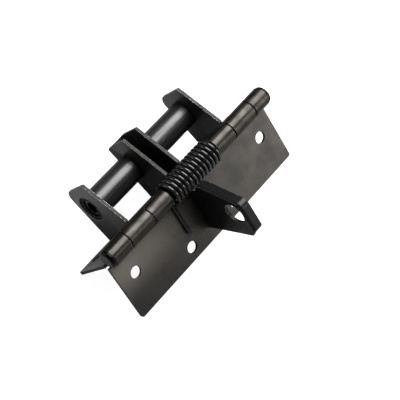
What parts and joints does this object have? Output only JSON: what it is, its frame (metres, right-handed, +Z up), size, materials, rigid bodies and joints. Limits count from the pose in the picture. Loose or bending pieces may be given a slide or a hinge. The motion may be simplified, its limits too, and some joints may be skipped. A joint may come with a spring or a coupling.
{
  "type": "spring loaded door hinge",
  "caption": "Black steel butt hinge with a torsion spring round its pin, and sprung plungers in tubes that hold the door leaf's striker at a right angle.",
  "frame": {"origin": "on the pin's axis, midway between the short edges of the leaves", "axes": "+X along the pin, +Z up with the hinge standing on the long edges of both leaves, +Y towards the frame leaf"},
  "size_m": [0.1163, 0.0844, 0.0397],
  "materials": {
    "black_sheet": "satin black plate",
    "black_tube": "smooth satin black",
    "dark_steel": "dark brushed",
    "spring_wire": "glossy black wire"
  },
  "bodies": {
    "frame": {"frame_leaf": "black_sheet", "hinge_pin": "dark_steel", "end_cap_near": "dark_steel", "end_cap_far": "dark_steel", "spring_bush": "dark_steel", "torsion_spring": "spring_wire", "guide_channel": "black_sheet", "ear_near": "black_sheet", "ear_far": "black_sheet", "knuckle_washer_1": "dark_steel", "knuckle_washer_2": "dark_steel", "knuckle_washer_3": "dark_steel", "knuckle_washer_4": "dark_steel", "plunger_tube_near": "black_tube", "plunger_tube_far": "black_tube", "plunger_spring_near": "spring_wire", "plunger_spring_far": "spring_wire", "adjuster_near": "dark_steel", "adjuster_far": "dark_steel"},
    "door": {"door_leaf": "black_sheet", "striker_channel": "black_sheet"},
    "plunger_near": {"plunger_near": "dark_steel"},
    "plunger_far": {"plunger_far": "dark_steel"}
  },
  "joints": [
    {"name": "door_swing", "type": "hinge", "parent": "frame", "child": "door", "pos_m": [0, 0, 0], "axis": [-1, 0, 0], "range_deg": [0, 200], "stiffness_Nm_per_rad": 0.35, "springref_deg": -28.65, "deforming": ["torsion_spring"]},
    {"name": "plunger_near_push", "type": "slide", "parent": "frame", "child": "plunger_near", "axis": [-1, 0, 0], "range_m": [0, 0.003], "stiffness_N_per_m": 5700, "springref_m": -0.003, "deforming": ["plunger_spring_near"]},
    {"name": "plunger_far_push", "type": "slide", "parent": "frame", "child": "plunger_far", "axis": [1, 0, 0], "range_m": [0, 0.003], "stiffness_N_per_m": 5700, "springref_m": -0.003, "deforming": ["plunger_spring_far"]}
  ]
}
